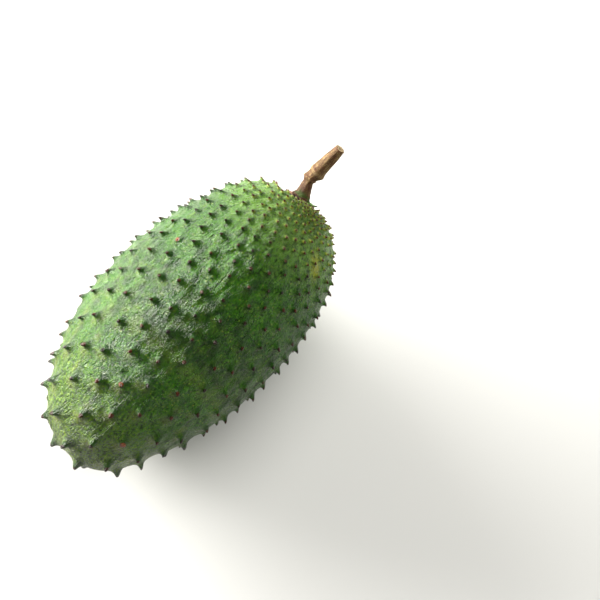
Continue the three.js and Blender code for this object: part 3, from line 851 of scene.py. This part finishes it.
def stem_line():
    """Evenly spaced places along the stem's middle, and their distances from its foot."""
    foot = SEAT + COLLAR_AXIS * (COLLAR_HEIGHT + 2 * GAP)
    lower = unit(np.array(STEM_LOWER_DIRECTION))
    upper = unit(np.array(STEM_UPPER_DIRECTION))
    joint = foot + lower * STEM_LOWER
    line = smooth_line([
        foot,
        foot + COLLAR_AXIS * 1.5,
        foot + lower * STEM_LOWER * 0.55,
        joint,
        joint + upper * STEM_UPPER * 0.25,
        joint + upper * STEM_UPPER,
    ])
    along = np.concatenate([[0], np.cumsum(np.linalg.norm(np.diff(line, axis=0), axis=1))])
    at = np.linspace(0, along[-1], STEM_RINGS)
    return np.stack([np.interp(at, along, line[:, c]) for c in range(3)], 1), at


def plain_radius(at):
    """Radius of the stem without its bumps, for distances along it."""
    rows = np.array(STEM_RADII)
    k = np.clip(np.searchsorted(rows[:, 0], at, side="right"), 1, len(rows) - 1)
    d0, r0, d1, r1 = rows[k - 1, 0], rows[k - 1, 1], rows[k, 0], rows[k, 1]
    return r0 + (r1 - r0) * smooth((at - d0) / (d1 - d0))


def stem_radius(at, turn):
    """Radius of the stem's bark for distances along it and turns round it."""
    plain = plain_radius(at)
    radius = plain * (1 + 0.03 * np.sin(3 * turn + at / 8) + 0.02 * np.sin(5 * turn))
    for centre, degrees, height, width in STEM_BUMPS:
        round_ = 2 * plain * np.sin((turn - math.radians(degrees)) / 2)
        radius += height * np.exp(-((at - centre) ** 2 + round_**2) / width**2)
    for centre, height in JOINT_RINGS:
        wavy = centre + 0.35 * np.sin(2 * turn + centre) + 0.15 * np.sin(5 * turn)
        radius += height * np.exp(-(((at - wavy) / JOINT_RING_WIDTH) ** 2))
    around = np.stack([np.cos(turn) * plain, np.sin(turn) * plain, at], -1).reshape(-1, 3)
    sizes = ((2.4, 2.4, 5.0), (0.55, 0.55, 3.2), (0.3, 0.3, 0.9))
    lumps, wrinkles, fine = (noise_at(around, size, k + 1).reshape(at.shape) for k, size in enumerate(sizes))
    return radius + 0.16 * lumps - 0.14 * np.abs(wrinkles) + 0.05 * fine


def stem_rings(line, at, turn):
    """Rings of points along the bark, and then over the cut face to near its middle."""
    way = unit(np.gradient(line, axis=0))
    way[0] = COLLAR_AXIS
    radius = stem_radius(*np.meshgrid(at, turn, indexing="ij"))
    ragged = 0.25 * np.sin(3 * turn) + 0.12 * np.sin(8 * turn)
    rings = []
    side = LEVEL
    for k in range(STEM_RINGS):
        side = unit(side - way[k] * (side @ way[k]))
        up = np.cross(way[k], side)
        ring = line[k] + radius[k][:, None] * (np.outer(np.cos(turn), side) + np.outer(np.sin(turn), up))
        rings.append(ring + way[k] * ragged[:, None] * smooth((k / STEM_RINGS - 0.97) / 0.03))
    rings[0] = rings[0] - way[0] * STEM_START
    edge = rings[-1]
    middle = edge.mean(axis=0)
    for share, rise in CUT_FACE:
        rough = noise_at(edge * share, 0.7, 4) * 0.12
        rings.append(middle + (edge - middle) * share + way[-1] * (rise + rough)[:, None])
    return rings


def make_stem():
    line, at = stem_line()
    turn = 2 * np.pi * np.arange(STEM_SIDES) / STEM_SIDES
    rings = stem_rings(line, at, turn)
    points = np.concatenate([*rings, line[:1] - COLLAR_AXIS * STEM_START, rings[-1].mean(axis=0)[None]])
    points = inside_node(points, "stem")
    faces = tube_faces(len(rings), STEM_SIDES)
    piece = make_mesh("stem_bark", points, faces, "stem", bark_material())
    long = np.append(np.repeat([*at, *[at[-1]] * len(CUT_FACE)], STEM_SIDES), [0, at[-1]])
    bearing = np.append(np.tile(turn, len(rings)), [0, 0])
    r = plain_radius(long)
    add_values(piece, "grain", np.stack([np.cos(bearing) * r, np.sin(bearing) * r, long], -1))
    inward = [0] * STEM_RINGS + [1 - share for share, _ in CUT_FACE]
    add_values(piece, "cut", np.append(np.repeat(inward, STEM_SIDES), [0, 1]))


def bark_material():
    s = Shader("soursop_bark")
    grain = s.value("grain", vector=True)
    along = s.node("SeparateXYZ", Vector=grain).outputs["Z"]
    strands = s.noise(s.stretched(grain, (0.9, 0.9, 0.16)), 1.0, 4.0, 0.6, 0.6)
    threads = s.noise(s.stretched(grain, (1.1, 1.1, 0.3)), 1.0, 3.0, 0.55, 1.6)
    blotch = s.noise(grain, 0.28, 3.0, 0.55)
    specks = s.noise(grain, 2.4, 2.0, 0.6)
    tan = s.mix(s.ramp(strands, 0.4, 0.6), colour(98, 68, 38), colour(150, 122, 78))
    wrinkle = s.ramp(s.math("ABSOLUTE", s.math("SUBTRACT", threads, 0.5)), 0.08, 0.0)
    tan = s.mix(s.math("MULTIPLY", wrinkle, 0.85), tan, colour(72, 36, 20))
    tan = s.mix(s.ramp(blotch, 0.48, 0.62, 0.0, 0.7), tan, colour(106, 64, 44))
    tan = s.mix(s.ramp(specks, 0.56, 0.7, 0.0, 0.8), tan, colour(172, 152, 102))
    # Plum towards the stem's foot: partly its own purple tint, partly painted shade near the collar.
    low = s.ramp(along, 10.5, 5.0)
    plum_and_painted_shade = s.mix(s.math("MULTIPLY", low, s.ramp(blotch, 0.4, 0.6, 0.6, 1.0)), tan, colour(76, 45, 32))
    foot = s.math("MULTIPLY", s.ramp(along, 5.2, 1.6), s.ramp(s.noise(grain, 0.35), 0.4, 0.56))
    bark = s.mix(s.math("MULTIPLY", foot, 0.85), plum_and_painted_shade, colour(58, 84, 24))
    scar = s.math("MULTIPLY", s.ramp(along, 14.4, 15.6), s.ramp(along, 17.2, 16.0))
    bark = s.mix(s.math("MULTIPLY", scar, s.ramp(specks, 0.3, 0.6, 0.1, 0.75)), bark, colour(172, 146, 100))
    cut = s.value("cut")
    wood = s.mix(s.ramp(s.noise(grain, 1.6, 3.0), 0.35, 0.65), colour(160, 134, 98), colour(206, 184, 146))
    bark = s.mix(s.ramp(cut, 0.02, 0.1), bark, wood)
    bark = s.mix(s.ramp(cut, 0.8, 0.95), bark, colour(112, 84, 54))
    height = s.math("SUBTRACT", strands, s.math("MULTIPLY", wrinkle, 0.5))
    normal = s.bump(height, 0.0004, 1.0)
    return s.finish(Base_Color=bark, Roughness=0.72, Normal=normal, Specular_IOR_Level=0.35)


# ---------------------------------------------------------------- the calyx


def calyx_place(x, y, z):
    """A place given in the collar's own directions: level, over, along its axis."""
    x, y, z = np.broadcast_arrays(x, y, z)
    base = SEAT + COLLAR_AXIS * GAP
    return base + x[..., None] * LEVEL + y[..., None] * OVER + z[..., None] * COLLAR_AXIS


def collar_mesh(rings=64, sides=150):
    """Points and triangles of the corky ring, and each point's share of its height."""
    side = np.array([COLLAR_FOOT, *COLLAR_SIDE, COLLAR_TOP])
    steps = np.diff(side * (COLLAR_RADIUS, COLLAR_HEIGHT), axis=0)
    along = np.concatenate([[0], np.cumsum(np.hypot(*steps.T))])
    at = np.linspace(0, along[-1], rings)
    r, z = (np.interp(at, along, side[:, c])[:, None] for c in range(2))
    turn = (2 * np.pi * np.arange(sides) / sides)[None]
    lump = 1 + 0.035 * np.sin(3 * turn + 1) + 0.025 * np.sin(7 * turn)
    radius = COLLAR_RADIUS * r * lump
    x, y, height = radius * np.cos(turn), radius * np.sin(turn), COLLAR_HEIGHT * z + 0 * turn
    flat = np.stack([x, y, height], -1).reshape(-1, 3)
    ridges = np.abs(noise_at(flat, (0.7, 0.7, 1.4), 6))
    rough = 0.3 * noise_at(flat, 1.6, 5) - 0.28 * ridges + 0.1 * noise_at(flat, 0.4, 7)
    rough = rough.reshape(x.shape)
    x, y, height = x + rough * np.cos(turn), y + rough * np.sin(turn), height + rough * 0.5
    points = calyx_place(x, y, height).reshape(-1, 3)
    ends = calyx_place(0, 0, np.array([COLLAR_FOOT[1], COLLAR_TOP[1]]) * COLLAR_HEIGHT)
    value = np.concatenate([(height / COLLAR_HEIGHT).ravel(), [0, 1]])
    return np.concatenate([points, ends]), tube_faces(rings, sides), value


def sepal_mesh(roll, size, rise, rings=40, sides=40):
    """A fleshy blade rooted in the collar, arched over its rim, its dried tip turned up: points,
    triangles, and each point's share of its length."""
    share = 0.5 - 0.5 * np.cos(np.pi * (np.arange(rings) + 0.5) / rings)[:, None]
    turn = (2 * np.pi * np.arange(sides) / sides)[None]
    root = np.sqrt(np.clip(share * 8, 0, 1))
    wide = SEPAL_WIDTH / 2 * size * root * np.clip((1 - share) * 1.5, 0, 1) ** 0.8
    thick = 0.75 * (1 - 0.55 * share) * root * np.sqrt(np.clip((1 - share) * 6, 0, 1))
    x = SEPAL_START + SEPAL_LENGTH * size * share + 0 * turn
    y = wide * np.cos(turn)
    arch = rise * np.maximum(2 * share - 1, 0) ** 1.5 - 0.5 * (y / SEPAL_WIDTH) ** 2
    z = SEPAL_ROOT_HEIGHT + 0.4 + arch + thick * np.sin(turn)
    flat = np.stack([x, y, z], -1).reshape(-1, 3)
    z = z + 0.12 * noise_at(flat, 0.8, 8 + roll).reshape(z.shape)
    a = math.radians(roll)
    x, y = x * math.cos(a) - y * math.sin(a), x * math.sin(a) + y * math.cos(a)
    points = calyx_place(x, y, z).reshape(-1, 3)
    ends = np.stack([points[:sides].mean(axis=0), points[-sides:].mean(axis=0)])
    value = np.concatenate([np.repeat(share[:, 0], sides), [0, 1]])
    return np.concatenate([points, ends]), tube_faces(rings, sides), value


def make_calyx():
    # Each part has its points, its triangles and three values: height, place on a sepal, freshness.
    points, faces, height = collar_mesh()
    parts = [(points, faces, height, height * 0, height * 0)]
    for roll, size, rise in SEPALS:
        points, faces, share = sepal_mesh(roll, size, rise)
        parts.append((points, faces, share * 0, share + BLADE_START, share * 0 + FRESH[roll]))
    start = 0
    all_faces = []
    for points, faces, *_ in parts:
        all_faces += [tuple(i + start for i in f) for f in faces]
        start += len(points)
    points, height, blade, fresh = (np.concatenate([part[k] for part in parts]) for k in (0, 2, 3, 4))
    points = inside_node(points, "calyx")
    piece = make_mesh("calyx_collar", points, all_faces, "calyx", calyx_material())
    for name, values in {"height": height, "blade": blade, "fresh": fresh}.items():
        add_values(piece, name, values)


def calyx_material():
    s = Shader("soursop_calyx")
    place = s.place()
    coarse = s.noise(place, 230.0, 3.0, 0.6)
    fine = s.noise(place, 1300.0, 3.0, 0.65)
    cracks = s.cracks(place, 900.0)
    # The collar's lower side is dark purple-brown: partly its own cork, partly painted shade of the gap under
    # its flared top.
    cork_and_painted_shade = s.mix(s.ramp(coarse, 0.35, 0.65), colour(38, 22, 24), colour(92, 58, 54))
    cork_and_painted_shade = s.mix(s.ramp(fine, 0.52, 0.7, 0.0, 0.8), cork_and_painted_shade, colour(150, 118, 108))
    top = s.mix(s.ramp(coarse, 0.42, 0.56), colour(150, 112, 80), colour(98, 116, 52))
    top = s.mix(s.ramp(fine, 0.5, 0.7, 0.0, 0.5), top, colour(178, 150, 110))
    up = s.math("ADD", s.value("height"), s.ramp(coarse, 0.3, 0.7, -0.15, 0.15))
    rim = s.mix(s.ramp(up, 0.62, 0.85), cork_and_painted_shade, top)
    blade = s.value("blade")
    fresh = s.value("fresh")
    leaf = s.mix(s.ramp(fresh, 0.0, 0.5), colour(52, 28, 30), colour(150, 112, 90))
    leaf = s.mix(s.ramp(fresh, 0.5, 1.0), leaf, colour(84, 122, 48))
    leaf = s.mix(s.ramp(fine, 0.55, 0.7, 0.0, 0.4), leaf, colour(150, 140, 116))
    leaf = s.mix(s.ramp(blade, 0.74, 0.93), leaf, colour(58, 38, 30))
    rim = s.mix(s.ramp(blade, BLADE_START / 2, BLADE_START), rim, leaf)
    height = s.math("ADD", s.math("MULTIPLY", s.ramp(cracks, 0.0, 0.2), 0.5), fine)
    normal = s.bump(height, 0.0003, 0.8)
    return s.finish(Base_Color=rim, Roughness=0.75, Normal=normal, Specular_IOR_Level=0.35)


# ---------------------------------------------------------------- the camera, light and floor

CAMERA_AZIMUTH = math.radians(-45.5)
CAMERA_ELEVATION = math.radians(76)
CAMERA_DISTANCE = 720
CAMERA_LENS = 85
SENSOR = 36  # width, Blender's own
FRAME = 600  # pixels across and down
FRUIT_ACROSS = 189  # where the ovoid's middle shows, in pixels from the left
FRUIT_DOWN = 323.2  # and from the top
PIXEL = CAMERA_DISTANCE * SENSOR / CAMERA_LENS / FRAME  # its size at the ovoid's middle
LIGHT_AIM = (0, 0, 0.048)  # about the fruit's middle, in metres


def camera_axes():
    """The camera's right, its up, and the way back to it from the fruit."""
    a, e = CAMERA_AZIMUTH, CAMERA_ELEVATION
    back = np.array([math.sin(a) * math.cos(e), -math.cos(a) * math.cos(e), math.sin(e)])
    right = np.array([math.cos(a), math.sin(a), 0.0])
    return right, np.cross(back, right), back


def make_camera():
    right, up, back = camera_axes()
    camera = bpy.data.objects.new("camera", bpy.data.cameras.new("camera"))
    camera.data.lens = CAMERA_LENS
    camera.data.clip_start, camera.data.clip_end = 0.01, 20
    aside = (FRAME / 2 - FRUIT_ACROSS) * PIXEL
    raised = (FRUIT_DOWN - FRAME / 2) * PIXEL
    at = -SPOT + back * CAMERA_DISTANCE + right * aside + up * raised
    rows = np.column_stack([right, up, back, at * MM]).tolist()
    camera.matrix_world = Matrix([*rows, (0, 0, 0, 1)])
    bpy.context.scene.collection.objects.link(camera)
    bpy.context.scene.camera = camera


def make_light(name, way, distance, size, power, tint, glossy=True):
    """An area light aimed at the fruit, from a way given as right, up and back in the camera's view."""
    right, up, back = camera_axes()
    way = unit(way[0] * right + way[1] * up + way[2] * back)
    light = bpy.data.objects.new(name, bpy.data.lights.new(name, "AREA"))
    light.data.shape = "RECTANGLE"
    light.data.size, light.data.size_y = size
    light.data.energy = power
    light.data.color = tint
    light.visible_glossy = glossy
    light.location = Vector(LIGHT_AIM) + Vector(way) * distance
    light.rotation_euler = (-Vector(way)).to_track_quat("-Z", "Y").to_euler()
    bpy.context.scene.collection.objects.link(light)


def make_floor():
    s = Shader("floor")
    s.finish(Base_Color=colour(222, 222, 222), Roughness=0.9)
    mesh = bpy.data.meshes.new("floor")
    mesh.from_pydata([(-6, -6, 0), (6, -6, 0), (6, 6, 0), (-6, 6, 0)], [], [(0, 1, 2, 3)])
    mesh.materials.append(s.material)
    floor = bpy.data.objects.new("floor", mesh)
    bpy.context.scene.collection.objects.link(floor)


def make_world():
    world = bpy.data.worlds.new("studio")
    world.use_nodes = True
    shade = world.node_tree.nodes["Background"]
    shade.inputs["Color"].default_value = (1.0, 0.99, 0.97, 1.0)
    shade.inputs["Strength"].default_value = 0.12
    bpy.context.scene.world = world
    bpy.context.scene.view_settings.view_transform = "Standard"


make_camera()
make_world()
make_floor()
# Distances and sizes of the lights are in metres.
make_light("key", (-0.94, 0.78, 0.07), 1.1, (1.1, 0.45), 70, (1.0, 0.98, 0.92))
make_light("sky", (0.42, 0.6, 1.0), 1.6, (2.0, 2.0), 30, (1.0, 0.99, 0.92), glossy=False)
make_light("fill", (0.8, 0.75, 0.3), 1.3, (1.2, 1.2), 7, (1.0, 0.99, 0.92), glossy=False)
make_fruit()
make_stem()
make_calyx()
